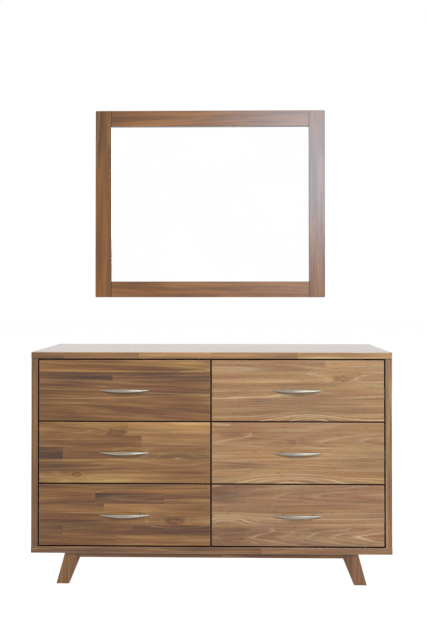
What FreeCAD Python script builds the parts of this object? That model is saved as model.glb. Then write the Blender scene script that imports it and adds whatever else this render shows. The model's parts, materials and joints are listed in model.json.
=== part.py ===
import FreeCAD, Part

# A six-drawer dresser with its wall mirror, in millimetres.
# X runs to the right as seen from the front, Y runs back to the wall, Z runs up.
# The origin is on the floor, under the middle of the whole object.
# Every size is a cell of the sheet "Sizes"; every piece is bound to those cells.

import os
import re

import Sketcher

# ---------------------------------------------------------------- driving sizes

DRIVING = {
    # the case
    "case_width": 1500,
    "case_depth": 470,
    "case_height": 836,
    "panel_thickness": 28,
    "partition_thickness": 28,
    "panel_round": 2.5,
    "back_thickness": 6,
    "back_setback": 2,
    "rabbet_width": 10,
    "fit_clearance": 0.3,
    "cut_overrun": 1,
    # the base frame and the splayed legs
    "leg_height": 134,
    "leg_thickness": 32,
    "leg_top_width": 71.5,
    "leg_foot_width": 53.3,
    "leg_top_inset": 139,
    "leg_splay": 37,
    "leg_ease": 1.5,
    "base_setback": 20,
    "base_rail_height": 23,
    "base_rail_thickness": 20,
    "side_rail_inset": 46,
    # drawer fronts and the rails behind them
    "front_gap": 5,
    "centre_gap": 6.5,
    "front_recess": 1,
    "front_thickness": 20,
    "front_round": 2,
    "rail_clearance": 1,
    "rail_depth": 50,
    "rail_thickness": 20,
    # drawer boxes
    "box_thickness": 14,
    "box_height": 190,
    "box_rise": 20,
    "box_length": 420,
    "bottom_thickness": 6,
    "groove_depth": 6,
    "groove_rise": 12,
    "groove_play": 0.2,
    "pin_width": 8,
    "pin_slope": 0.14,
    # telescopic slides
    "slide_length": 400,
    "slide_setback": 4,
    "slide_width": 12.7,
    "slide_height": 45,
    "slide_metal": 1.2,
    "slide_lip": 3,
    "slide_rise": 95,
    "slide_play": 0.3,
    "middle_length": 380,
    "ball_race": 3.2,
    "race_width": 3,
    "outer_reach": 9.5,
    "middle_web": 2,
    "middle_reach": 10.9,
    "inner_reach": 4.5,
    "outer_race": 3.3,
    "inner_race": 6.2,
    "retainer_length": 150,
    "retainer_end": 10,
    # bow pulls
    "pull_length": 204,
    "pull_height": 16,
    "pull_tip_height": 3.5,
    "pull_projection": 27,
    "pull_bar_depth": 7.5,
    "pull_tip_depth": 3,
    "pull_tip_gap": 1.5,
    "pull_ease": 1.2,
    "post_spacing": 128,
    "post_width": 10,
    "post_thickness": 9,
    "post_taper": 4,
    # the mirror
    "mirror_width": 1106,
    "mirror_height": 901,
    "mirror_rise": 226,
    "mirror_shift": -17,
    "stile_width": 76,
    "mirror_rail_width": 76,
    "mirror_thickness": 22,
    "mirror_corner_round": 5,
    "mirror_ease": 1.2,
    "mirror_standoff": 3,
    "glass_thickness": 4,
    "backing_thickness": 6,
    "glass_rabbet": 10,
    "glass_play": 1,
    "tenon_thickness": 6,
    "tenon_length": 30,
    "tenon_shoulder": 12,
    "tenon_play": 0.15,
    "hanger_width": 20,
    "hanger_height": 50,
    "hanger_metal": 2,
    "hanger_drop": 90,
    "keyhole_radius": 5,
    "keyhole_slot": 4.5,
    "keyhole_rise": 14,
    "screw_head_play": 1,
    "hanger_recess": 9,
    "bumper_radius": 6,
    "bumper_inset": 24,
}

TAIL_COUNT = 4
ROWS = ("bottom", "middle", "top")
# which way each column or side lies from the middle, along X
COLUMNS = {"left": -1, "right": 1}

# ---------------------------------------------------------------- worked-out sizes

DERIVED = {
    "pull_reach": "pull_projection - front_recess",
    "case_front": "-(case_depth - pull_reach) / 2",
    "case_back": "case_front + case_depth",
    "case_top": "leg_height + case_height",
    "inner_floor": "leg_height + panel_thickness",
    "inner_width": "case_width - 2 * panel_thickness",
    "inner_height": "case_height - 2 * panel_thickness",
    "back_front": "case_depth - back_setback - back_thickness",
    "front_width": "(inner_width - 2 * front_gap - centre_gap) / 2",
    "front_height": "(inner_height - %d * front_gap) / %d" % (len(ROWS) + 1, len(ROWS)),
    "front_pitch": "front_height + front_gap",
    "front_back": "front_recess + front_thickness",
    "rail_front": "front_back + rail_clearance",
    "opening_width": "(inner_width - partition_thickness) / 2",
    "box_width": "opening_width - 2 * slide_width",
    "box_inner": "box_width - 2 * box_thickness",
    "tail_pitch": "box_height / %d" % TAIL_COUNT,
    "tail_end": "(tail_pitch - pin_width) / 2",
    "tail_root": "tail_end - pin_slope * box_thickness",
    "middle_height": "slide_height - 2 * slide_metal - 2 * ball_race",
    "inner_slide_height": "middle_height - 2 * slide_metal - 2 * ball_race",
    "slide_front": "front_back + slide_setback",
    "slide_middle": "box_rise + slide_rise",
    "middle_start": "(slide_length - middle_length) / 2",
    "post_share": "(post_spacing / pull_length)^2",
    "bar_middle": "pull_projection - pull_bar_depth / 2",
    "tip_middle": "pull_tip_gap + pull_tip_depth / 2",
    "pull_chamfer": "min(pull_ease, 0.4 * pull_tip_depth, 0.4 * pull_tip_height)",
    "post_height": "bar_middle - (bar_middle - tip_middle) * post_share",
    "leg_top_outer": "case_width / 2 - leg_top_inset",
    "leg_top_inner": "leg_top_outer - leg_top_width",
    "leg_foot_outer": "leg_top_outer + leg_splay",
    "leg_foot_inner": "leg_foot_outer - leg_foot_width",
    "mirror_bottom": "case_top + mirror_rise",
    "mirror_back": "case_back - mirror_standoff",
    "mirror_front": "mirror_back - mirror_thickness",
    "mirror_opening": "mirror_width - 2 * stile_width",
    "glass_bed": "glass_thickness + backing_thickness",
    "tenon_width": "mirror_rail_width - glass_rabbet - 2 * tenon_shoulder",
    "tenon_middle": "(mirror_thickness - glass_bed) / 2",
    "hanger_x": "(mirror_width - stile_width) / 2",
}

doc = FreeCAD.newDocument("Dresser")
sheet = doc.addObject("Spreadsheet::Sheet", "Sizes")
for row, (name, size) in enumerate(DRIVING.items(), start=1):
    sheet.set("A%d" % row, name)
    sheet.set("B%d" % row, str(size))
    sheet.setAlias("B%d" % row, name)
for row, (name, formula) in enumerate(DERIVED.items(), start=1):
    sheet.set("D%d" % row, name)
    sheet.set("E%d" % row, "=" + formula)
    sheet.setAlias("E%d" % row, name)
doc.recompute()

NAMES = set(DRIVING) | set(DERIVED)


def cells(formula):
    """A formula in plain names, written with the sheet's cells."""
    return re.sub(r"[a-z_]+", lambda word: "Sizes." * (word[0] in NAMES) + word[0], str(formula))


def bind(thing, **formulas):
    """Binds properties to formulas; a double underscore in a name stands for a dot."""
    for prop, formula in formulas.items():
        thing.setExpression(prop.replace("__", "."), cells(formula))


def place(thing, across=0, back=0, up=0):
    """Binds where a piece stands: across is X, back is Y, up is Z."""
    bind(thing, Placement__Base__x=across, Placement__Base__y=back, Placement__Base__z=up)
    return thing


scratch = doc.addObject("Spreadsheet::Sheet", "Scratch")


def worked(formula):
    """The number that a formula comes to, worked out by a sheet that is removed at the end."""
    scratch.set("A1", "=" + cells(formula))
    scratch.recompute()
    return float(scratch.get("A1"))


# ---------------------------------------------------------------- ways of making a piece


def new_body(label):
    body = doc.addObject("PartDesign::Body", label)
    body.Label = label
    return body


def new_sketch(body, plane, offset=0):
    """A sketch on one of the body's own origin planes, offset along the plane's normal."""
    sketch = body.newObject("Sketcher::SketchObject", body.Label + "_sketch")
    origin_plane = next(item for item in body.Origin.OriginFeatures if item.Role == plane)
    sketch.AttachmentSupport = [(origin_plane, "")]
    sketch.MapMode = "FlatFace"
    bind(sketch, AttachmentOffset__Base__z=offset)
    return sketch


def spot(across, up):
    """The point of a sketch that two formulas give."""
    return FreeCAD.Vector(worked(across), worked(up), 0)


def pin_point(sketch, edge, end, across, up):
    """Fixes one end of a sketch edge at a place given by two formulas."""
    for kind, formula in (("DistanceX", across), ("DistanceY", up)):
        number = sketch.addConstraint(Sketcher.Constraint(kind, -1, 1, edge, end, worked(formula)))
        name = "%s_%d" % (kind, number)
        sketch.renameConstraint(number, name)
        sketch.setExpression("Constraints." + name, cells(formula))


def add_outline(sketch, corners):
    """One closed outline of straight edges; each corner is a pair of formulas."""
    first = len(sketch.Geometry)
    count = len(corners)
    spots = [spot(*corner) for corner in corners]
    sketch.addGeometry([Part.LineSegment(spots[i - 1], spots[i]) for i in range(count)], False)
    for i, (across, up) in enumerate(corners):
        sketch.addConstraint(Sketcher.Constraint("Coincident", first + i, 2, first + (i + 1) % count, 1))
        pin_point(sketch, first + i, 2, across, up)


def rectangle(left, low, right, high):
    return [(left, low), (right, low), (right, high), (left, high)]


def pad(body, plane, outlines, length, offset=0, against_normal=False):
    """Pads the outlines along the plane's normal, or against it."""
    sketch = new_sketch(body, plane, offset)
    for corners in outlines:
        add_outline(sketch, corners)
    feature = body.newObject("PartDesign::Pad", body.Label + "_pad")
    feature.Profile = sketch
    feature.Reversed = against_normal
    bind(feature, Length=length)
    sketch.Visibility = False
    doc.recompute()
    return feature


def pocket(body, plane, outlines, depth, offset=0, along_normal=False):
    """Cuts the outlines out of the body, and stops if nothing came away."""
    before = body.Shape.Volume
    sketch = new_sketch(body, plane, offset)
    for corners in outlines:
        add_outline(sketch, corners)
    feature = body.newObject("PartDesign::Pocket", body.Label + "_pocket")
    feature.Profile = sketch
    feature.Reversed = along_normal
    bind(feature, Length=depth)
    doc.recompute()
    if body.Shape.Volume > before - 1:
        raise RuntimeError("a pocket of %s cuts nothing" % body.Label)
    return feature


def ease(body, size, wanted, kind="Fillet"):
    """Rounds or chamfers the straight edges that the test picks, given an edge's middle and direction."""
    base = body.Tip
    names = []
    for number, edge in enumerate(base.Shape.Edges, start=1):
        if edge.Curve.TypeId == "Part::GeomLine":
            ends = [vertex.Point for vertex in edge.Vertexes]
            if wanted(edge.CenterOfMass, (ends[1] - ends[0]).normalize()):
                names.append("Edge%d" % number)
    feature = body.newObject("PartDesign::" + kind, body.Label + "_ease")
    feature.Base = (base, names)
    bind(feature, **{"Radius" if kind == "Fillet" else "Size": size})
    doc.recompute()
    return feature


def block(label, across, back, up):
    """A plain board, with its lowest corner at its own origin."""
    board = doc.addObject("Part::Box", label)
    board.Label = label
    bind(board, Length=across, Width=back, Height=up)
    return board


def group(label, members):
    """Separate solids kept in one sub-part."""
    compound = doc.addObject("Part::Compound", label)
    compound.Label = label
    compound.Links = members
    return compound


def near(value, target):
    return abs(value - target) < 0.01


SUBPARTS = []


def keep(piece):
    """Adds a finished sub-part to those written out."""
    SUBPARTS.append(piece)
    return piece


# ---------------------------------------------------------------- the case


def make_slab(label):
    """The top or the bottom: full width, all edges of its two faces eased, with a place for the back."""
    slab = new_body(label)
    half = "case_width / 2"
    pad(slab, "XY_Plane", [rectangle("-" + half, 0, half, "case_depth")], "panel_thickness")
    ease(slab, "panel_round", lambda middle, along: abs(along.z) < 0.5)
    return slab


def rabbet_slab(slab, low):
    """Cuts the stopped rabbet that the back panel sits in, starting at the given height."""
    reach = "(inner_width / 2 + rabbet_width)"
    place_of_back = rectangle("-" + reach, "back_front", reach, "case_depth + cut_overrun")
    pocket(slab, "XY_Plane", [place_of_back], "rabbet_width", offset=low, along_normal=True)


top_panel = make_slab("top_panel")
rabbet_slab(top_panel, 0)
keep(place(top_panel, 0, "case_front", "case_top - panel_thickness"))

bottom_panel = make_slab("bottom_panel")
rabbet_slab(bottom_panel, "panel_thickness - rabbet_width")
keep(place(bottom_panel, 0, "case_front", "leg_height"))

for side, sign in COLUMNS.items():
    panel = new_body(side + "_side_panel")
    inner = "%d * inner_width / 2" % sign
    outer = "%d * case_width / 2" % sign
    rabbet = "%d * (inner_width / 2 + rabbet_width)" % sign
    pad(panel, "XY_Plane", [rectangle(inner, 0, outer, "case_depth")], "inner_height")
    ease(panel, "panel_round", lambda middle, along: abs(along.z) > 0.5)
    inside = "%d * (inner_width / 2 - cut_overrun)" % sign
    cut = rectangle(inside, "back_front", rabbet, "case_depth + cut_overrun")
    pocket(panel, "XY_Plane", [cut], "inner_height", along_normal=True)
    keep(place(panel, 0, "case_front", "inner_floor"))

partition = block("centre_partition", "partition_thickness", "back_front - rail_front", "inner_height")
keep(place(partition, "-partition_thickness / 2", "case_front + rail_front", "inner_floor"))

spare = "(rabbet_width - fit_clearance)"
back_panel = block(
    "back_panel", "inner_width + 2 * " + spare, "back_thickness", "inner_height + 2 * " + spare,
)
keep(place(back_panel, "-inner_width / 2 - " + spare, "case_front + back_front", "inner_floor - " + spare))

rails = []
for sign in COLUMNS.values():
    for level in range(1, len(ROWS)):
        rail = block("drawer_rail_%d" % (len(rails) + 1), "opening_width", "rail_depth", "rail_thickness")
        gap_middle = "inner_floor + %d * front_pitch + front_gap / 2" % level
        left_end = "-inner_width / 2" if sign < 0 else "partition_thickness / 2"
        rails.append(place(rail, left_end, "case_front + rail_front", gap_middle + " - rail_thickness / 2"))
keep(group("drawer_rails", rails))

# ---------------------------------------------------------------- the base


def slanted(height):
    """How far out the inner edge of a leg is at a height above the floor."""
    return "(leg_foot_inner + (leg_top_inner - leg_foot_inner) * (%s) / leg_height)" % height


DEPTHS = {
    "front": "case_front + base_setback",
    "rear": "case_back - base_setback - leg_thickness",
}
for end, leg_front in DEPTHS.items():
    for side, sign in COLUMNS.items():
        leg = new_body("%s_%s_leg" % (end, side))
        shape = [
            ("%d * leg_foot_inner" % sign, 0),
            ("%d * leg_foot_outer" % sign, 0),
            ("%d * leg_top_outer" % sign, "leg_height"),
            ("%d * leg_top_inner" % sign, "leg_height"),
        ]
        pad(leg, "XZ_Plane", [shape], "leg_thickness", against_normal=True)
        ease(leg, "leg_ease", lambda middle, along: abs(along.z) > 0.5, "Chamfer")
        keep(place(leg, 0, leg_front, 0))

rail_low = "leg_height - base_rail_height"
for end in DEPTHS:
    rail = new_body(end + "_base_rail")
    shape = [
        ("-" + slanted(rail_low), rail_low),
        (slanted(rail_low), rail_low),
        ("leg_top_inner", "leg_height"),
        ("-leg_top_inner", "leg_height"),
    ]
    pad(rail, "XZ_Plane", [shape], "base_rail_thickness", against_normal=True)
    front_face = DEPTHS["front"] if end == "front" else "case_back - base_setback - base_rail_thickness"
    keep(place(rail, 0, front_face, 0))

side_rails = []
for side, sign in COLUMNS.items():
    span = "case_depth - 2 * base_setback - 2 * leg_thickness"
    rail = block(side + "_side_rail", "base_rail_thickness", span, "base_rail_height")
    middle = "%d * (leg_top_outer - side_rail_inset) - base_rail_thickness / 2" % sign
    side_rails.append(place(rail, middle, DEPTHS["front"] + " + leg_thickness", rail_low))
keep(group("side_base_rails", side_rails))

# ---------------------------------------------------------------- one drawer box, dovetailed at its corners


def tails(at_end, at_root):
    """The four-cornered outlines of one corner's tails, from the root of each to the board's end."""
    outlines = []
    for number in range(TAIL_COUNT):
        middle = "%s * tail_pitch" % (number + 0.5)
        outlines.append([
            (at_root, middle + " - tail_root"),
            (at_end, middle + " - tail_end"),
            (at_end, middle + " + tail_end"),
            (at_root, middle + " + tail_root"),
        ])
    return outlines


def make_box_side(label, sign):
    """A drawer side with tails at both ends and a stopped groove for the drawer's bottom."""
    side = new_body(label)
    front_tails = [corner for tail in tails("0", "box_thickness") for corner in tail]
    rear_tails = [corner for tail in tails("box_length", "box_length - box_thickness") for corner in tail]
    profile = [("box_thickness", 0)] + front_tails + [("box_thickness", "box_height")]
    profile += [("box_length - box_thickness", "box_height")] + rear_tails[::-1]
    profile += [("box_length - box_thickness", 0)]
    inner_face = "%d * box_inner / 2" % sign
    pad(side, "YZ_Plane", [profile], "box_thickness", offset=inner_face, against_normal=sign < 0)
    groove = rectangle(
        "box_thickness - groove_depth", "groove_rise",
        "box_length - box_thickness + groove_depth", "groove_rise + bottom_thickness + groove_play",
    )
    pocket(side, "YZ_Plane", [groove], "groove_depth", offset=inner_face, along_normal=sign > 0)
    return side


def make_box_end(label, rear):
    """The box's front or back: sockets for the tails at both ends, and a groove between the sides."""
    end = new_body(label)
    first, last = ("box_length - box_thickness", "box_length") if rear else ("0", "box_thickness")
    face = [rectangle(first, 0, last, "box_height")]
    pad(end, "YZ_Plane", face, "box_width", offset="-box_width / 2")
    outer, inner = (last, first) if rear else (first, last)
    for sign in COLUMNS.values():
        end_face = "%d * box_width / 2" % sign
        sockets = tails(outer, inner)
        pocket(end, "YZ_Plane", sockets, "box_thickness", offset=end_face, along_normal=sign < 0)
    groove_top = "groove_rise + bottom_thickness + groove_play"
    groove = rectangle("-box_inner / 2", "groove_rise", "box_inner / 2", groove_top)
    # the front-view plane's normal points to the front
    inner_face = "-(%s)" % inner
    pocket(end, "XZ_Plane", [groove], "groove_depth", offset=inner_face, along_normal=not rear)
    return end


box_boards = [
    make_box_side("box_left_side", -1),
    make_box_side("box_right_side", 1),
    make_box_end("box_front", False),
    make_box_end("box_back", True),
]

in_groove = "2 * (groove_depth - fit_clearance)"
box_bottom = block(
    "box_bottom",
    "box_inner + " + in_groove,
    "box_length - 2 * box_thickness + " + in_groove,
    "bottom_thickness",
)
BOTTOM_PLACE = (
    "-(box_inner + %s) / 2" % in_groove,
    "front_back + box_thickness - groove_depth + fit_clearance",
    "box_rise + groove_rise",
)

# ---------------------------------------------------------------- one drawer front

front_board = new_body("front_board")
face = rectangle("-front_width / 2", 0, "front_width / 2", "front_height")
pad(front_board, "XZ_Plane", [face], "front_thickness", against_normal=True)
ease(front_board, "front_round", lambda middle, along: near(middle.y, 0))

# ---------------------------------------------------------------- one bow pull


def add_arc(sketch, tip, crown, upward):
    """An arc over the pull's length, from tip to tip through its crown."""
    half = "pull_length / 2"
    left, crown_spot, right = spot("-" + half, tip), spot(0, crown), spot(half, tip)
    arc = Part.Arc(right, crown_spot, left) if upward else Part.Arc(left, crown_spot, right)
    edge = sketch.addGeometry(arc, False)
    left_end, right_end = (2, 1) if upward else (1, 2)
    pin_point(sketch, edge, left_end, "-" + half, tip)
    pin_point(sketch, edge, right_end, half, tip)
    rise = "(%s - (%s))" % (crown, tip)
    radius = "((%s)^2 + %s^2) / (2 * abs(%s))" % (half, rise, rise)
    number = sketch.addConstraint(Sketcher.Constraint("Radius", edge, worked(radius)))
    sketch.renameConstraint(number, "radius_%d" % number)
    sketch.setExpression("Constraints.radius_%d" % number, cells(radius))
    return {"left": (edge, left_end), "right": (edge, right_end)}


def join(sketch, one, other):
    """A straight edge from the end of one sketch edge to the end of another."""
    line = sketch.addGeometry(Part.LineSegment(sketch.getPoint(*one), sketch.getPoint(*other)), False)
    sketch.addConstraint(Sketcher.Constraint("Coincident", line, 1, *one))
    sketch.addConstraint(Sketcher.Constraint("Coincident", line, 2, *other))


def make_pull():
    """A bar bowed outward in plan and swelling in elevation, with eased edges, on two tapered posts."""
    pull = new_body("bow_pull")
    plan = new_sketch(pull, "XY_Plane", "-pull_height / 2")
    outer = add_arc(plan, "-(pull_tip_gap + pull_tip_depth)", "-pull_projection", False)
    inner = add_arc(plan, "-pull_tip_gap", "-(pull_projection - pull_bar_depth)", False)
    for end in ("left", "right"):
        join(plan, outer[end], inner[end])
    bar = pull.newObject("PartDesign::Pad", "pull_plan_pad")
    bar.Profile = plan
    bind(bar, Length="pull_height")
    doc.recompute()
    for sign in (1, -1):
        # what lies beyond the swelling outline of the front view is cut away, above and then below
        side = new_sketch(pull, "XZ_Plane", "pull_projection")
        swell = add_arc(side, "%d * pull_tip_height / 2" % sign, "%d * pull_height / 2" % sign, sign > 0)
        beyond = "%d * pull_height" % sign
        far_edge = side.addGeometry(
            Part.LineSegment(spot("pull_length / 2", beyond), spot("-pull_length / 2", beyond)), False)
        pin_point(side, far_edge, 1, "pull_length / 2", beyond)
        pin_point(side, far_edge, 2, "-pull_length / 2", beyond)
        join(side, swell["right"], (far_edge, 1))
        join(side, (far_edge, 2), swell["left"])
        before = pull.Shape.Volume
        trim = pull.newObject("PartDesign::Pocket", "pull_trim")
        trim.Profile = side
        bind(trim, Length="pull_projection")
        doc.recompute()
        if pull.Shape.Volume > before - 1:
            raise RuntimeError("the pull's swelling outline cuts nothing")
    long_edges = []
    for number, edge in enumerate(trim.Shape.Edges, start=1):
        if edge.Length > sheet.pull_length / 2:
            long_edges.append((edge.CenterOfMass.y, "Edge%d" % number))
    front_edges = [name for depth, name in sorted(long_edges)[:2]]
    chamfer = pull.newObject("PartDesign::Chamfer", "pull_ease")
    chamfer.Base = (trim, front_edges)
    bind(chamfer, Size="pull_chamfer")
    doc.recompute()
    feet = []
    for sign in (-1, 1):
        middle = "%d * post_spacing / 2" % sign
        feet.append(rectangle(
            middle + " - post_width / 2", "-post_thickness / 2",
            middle + " + post_width / 2", "post_thickness / 2",
        ))
    posts = pad(pull, "XZ_Plane", feet, "post_height")
    bind(posts, TaperAngle="-post_taper")
    doc.recompute()
    return pull


bow_pull = make_pull()

# ---------------------------------------------------------------- one pair of telescopic slides


def channel(web, tip, height, lip, toward_drawer, lip_out=False):
    """The section of one rolled member: a web, two flanges and a lip along each flange's tip.

    Across is measured from the case's wall, and up from the slide's middle.
    """
    metal = "slide_metal" if toward_drawer else "-slide_metal"
    half = "(%s) / 2" % height
    lower, upper = [], []
    for sign, outline in ((-1, lower), (1, upper)):
        outer_face = "%d * %s" % (sign, half)
        inner_face = "%d * (%s - slide_metal)" % (sign, half)
        lip_end = "%d * (%s %s %s)" % (sign, half, "+" if lip_out else "-", lip)
        behind_lip = "%s - (%s)" % (tip, metal)
        outline.append((web, outer_face))
        if lip_out:
            outline += [(behind_lip, outer_face), (behind_lip, lip_end), (tip, lip_end), (tip, inner_face)]
        else:
            outline += [(tip, outer_face), (tip, lip_end), (behind_lip, lip_end), (behind_lip, inner_face)]
        outline.append(("%s + %s" % (web, metal), inner_face))
    return lower + upper[::-1]


def make_member(label, section, length, sign):
    """One slide member beside one wall; sign is -1 at the left wall."""
    member = new_body(label)
    wall = "%d * opening_width / 2" % sign
    corners = [("%s + %d * (%s)" % (wall, -sign, across), up) for across, up in section]
    pad(member, "XZ_Plane", [corners], length, against_normal=True)
    return member


def retainer(label, sign, across, middle_up, start):
    """One strip of the ball cage, resting on the middle member's flange."""
    strip = block(label, "race_width", "retainer_length", "ball_race - slide_play")
    left = "-opening_width / 2 + " + across if sign < 0 else "opening_width / 2 - %s - race_width" % across
    place(strip, left, "slide_front + " + start, "slide_middle + " + middle_up)
    return strip


outer_pair, middle_pair, inner_pair = [], [], []
for side, sign in COLUMNS.items():
    outer = channel("0", "outer_reach", "slide_height", "slide_lip", True)
    middle = channel("middle_web", "middle_reach", "middle_height", "slide_lip", True)
    inner = channel("slide_width", "inner_reach", "inner_slide_height", "slide_lip / 2", False, lip_out=True)
    outer_pair.append(make_member(side + "_outer", outer, "slide_length", sign))
    middle_pair.append(make_member(side + "_middle", middle, "middle_length", sign))
    inner_pair.append(make_member(side + "_inner", inner, "slide_length", sign))
    for member in (outer_pair[-1], inner_pair[-1]):
        place(member, 0, "slide_front", "slide_middle")
    place(middle_pair[-1], 0, "slide_front + middle_start", "slide_middle")
    for above in (True, False):
        outer_up = "middle_height / 2" if above else "-middle_height / 2 - ball_race + slide_play"
        middle_inside = "middle_height / 2 - slide_metal"
        inner_up = middle_inside + " - ball_race + slide_play" if above else "-(%s)" % middle_inside
        rear_start = "middle_start + middle_length - retainer_length - retainer_end"
        front_start = "middle_start + retainer_end"
        tag = "%s_%s_retainer" % (side, "upper" if above else "lower")
        middle_pair.append(retainer("outer_" + tag, sign, "outer_race", outer_up, rear_start))
        middle_pair.append(retainer("inner_" + tag, sign, "inner_race", inner_up, front_start))

# ---------------------------------------------------------------- the six drawers

for board in box_boards:
    place(board, 0, "front_back", "box_rise")
place(box_bottom, *BOTTOM_PLACE)
outer_members = []
for level, row in enumerate(ROWS):
    for side, sign in COLUMNS.items():
        name = "%s_%s_" % (row, side)
        box_middle = "%d * (partition_thickness + opening_width) / 2" % sign
        front_middle = "%d * (centre_gap + front_width) / 2" % sign
        low = "inner_floor + front_gap + %d * front_pitch" % level
        outer_members.append(place(group(name + "slide_outer", outer_pair), box_middle, "case_front", low))
        face = "case_front + front_recess"
        pull_up = low + " + front_height / 2"
        keep(place(group(name + "drawer_front", [front_board]), front_middle, face, low))
        keep(place(group(name + "drawer_box", box_boards), box_middle, "case_front", low))
        keep(place(group(name + "drawer_bottom", [box_bottom]), box_middle, "case_front", low))
        keep(place(group(name + "pull", [bow_pull]), front_middle, face, pull_up))
        keep(place(group(name + "slide_inner", inner_pair), box_middle, "case_front", low))
        keep(place(group(name + "slide_middle", middle_pair), box_middle, "case_front", low))
keep(group("slide_outer_members", outer_members))

# ---------------------------------------------------------------- the mirror


def outward(sign, outer, inner):
    """A left and a right limit in the order that a rectangle takes them."""
    return (outer, inner) if sign < 0 else (inner, outer)


rabbet_low = "mirror_rail_width - glass_rabbet"
rabbet_high = "mirror_height - mirror_rail_width + glass_rabbet"
bed_front = "mirror_thickness - glass_bed"
# each tenon's lower and upper edge, at the bottom rail and at the top rail
TENONS = (
    ("tenon_shoulder", "tenon_shoulder + tenon_width"),
    ("mirror_height - tenon_shoulder - tenon_width", "mirror_height - tenon_shoulder"),
)
tenon_front = "tenon_middle - tenon_thickness / 2"
tenon_rear = "tenon_middle + tenon_thickness / 2"
keyhole_low = "mirror_height - hanger_drop - keyhole_rise / 2"

for side, sign in COLUMNS.items():
    stile = new_body("mirror_%s_stile" % side)
    outer_edge = "%d * mirror_width / 2" % sign
    inner_edge = "%d * mirror_opening / 2" % sign
    left, right = outward(sign, outer_edge, inner_edge)
    face = rectangle(left, 0, right, "mirror_height")
    pad(stile, "XZ_Plane", [face], "mirror_thickness", against_normal=True)
    outer_x = sign * sheet.mirror_width / 2
    ease(stile, "mirror_corner_round", lambda middle, along: abs(along.y) > 0.5 and near(middle.x, outer_x))
    ease(stile, "mirror_ease", lambda middle, along: near(middle.y, 0) and abs(along.z) > 0.5, "Chamfer")
    bed_outer = "%d * (mirror_opening / 2 + glass_rabbet)" % sign
    bed_inner = "%d * (mirror_opening / 2 - cut_overrun)" % sign
    left, right = outward(sign, bed_outer, bed_inner)
    rear = "-mirror_thickness"
    bed = rectangle(left, rabbet_low, right, rabbet_high)
    pocket(stile, "XZ_Plane", [bed], "glass_bed", offset=rear, along_normal=True)
    mortises = []
    for low, high in TENONS:
        mortises.append(rectangle(
            tenon_front + " - tenon_play", low + " - tenon_play",
            tenon_rear + " + tenon_play", high + " + tenon_play",
        ))
    pocket(stile, "YZ_Plane", mortises, "tenon_length + tenon_play", offset=inner_edge, along_normal=sign > 0)
    middle = "%d * hanger_x" % sign
    reach = "(keyhole_radius + screw_head_play)"
    recess = rectangle(
        "%s - %s" % (middle, reach), "%s - %s" % (keyhole_low, reach),
        "%s + %s" % (middle, reach), "%s + keyhole_rise + %s" % (keyhole_low, reach),
    )
    pocket(stile, "XZ_Plane", [recess], "hanger_recess", offset=rear, along_normal=True)
    keep(place(stile, "mirror_shift", "mirror_front", "mirror_bottom"))

for number, name in enumerate(("bottom", "top")):
    rail = new_body("mirror_%s_rail" % name)
    half = "mirror_opening / 2"
    if name == "bottom":
        low, high = 0, "mirror_rail_width"
        bed_low, bed_high = rabbet_low, high + " + cut_overrun"
    else:
        low, high = "mirror_height - mirror_rail_width", "mirror_height"
        bed_low, bed_high = low + " - cut_overrun", rabbet_high
    face = rectangle("-" + half, low, half, high)
    pad(rail, "XZ_Plane", [face], "mirror_thickness", against_normal=True)
    ease(rail, "mirror_ease", lambda middle, along: near(middle.y, 0) and abs(along.x) > 0.5, "Chamfer")
    bed = rectangle("-" + half, bed_low, half, bed_high)
    pocket(rail, "XZ_Plane", [bed], "glass_bed", offset="-mirror_thickness", along_normal=True)
    tenon = rectangle(tenon_front, TENONS[number][0], tenon_rear, TENONS[number][1])
    for sign in COLUMNS.values():
        shoulder = "%d * %s" % (sign, half)
        pad(rail, "YZ_Plane", [tenon], "tenon_length", offset=shoulder, against_normal=sign < 0)
    keep(place(rail, "mirror_shift", "mirror_front", "mirror_bottom"))

pane_width = "(mirror_opening + 2 * (glass_rabbet - glass_play))"
pane_height = "(mirror_height - 2 * mirror_rail_width + 2 * (glass_rabbet - glass_play))"
pane_left = "mirror_shift - %s / 2" % pane_width
pane_low = "mirror_bottom + (mirror_height - %s) / 2" % pane_height
glass = block("mirror_glass", pane_width, "glass_thickness", pane_height)
keep(place(glass, pane_left, "mirror_front + " + bed_front, pane_low))
backing = block("mirror_backing", pane_width, "backing_thickness", pane_height)
keep(place(backing, pane_left, "mirror_front + %s + glass_thickness" % bed_front, pane_low))

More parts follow.
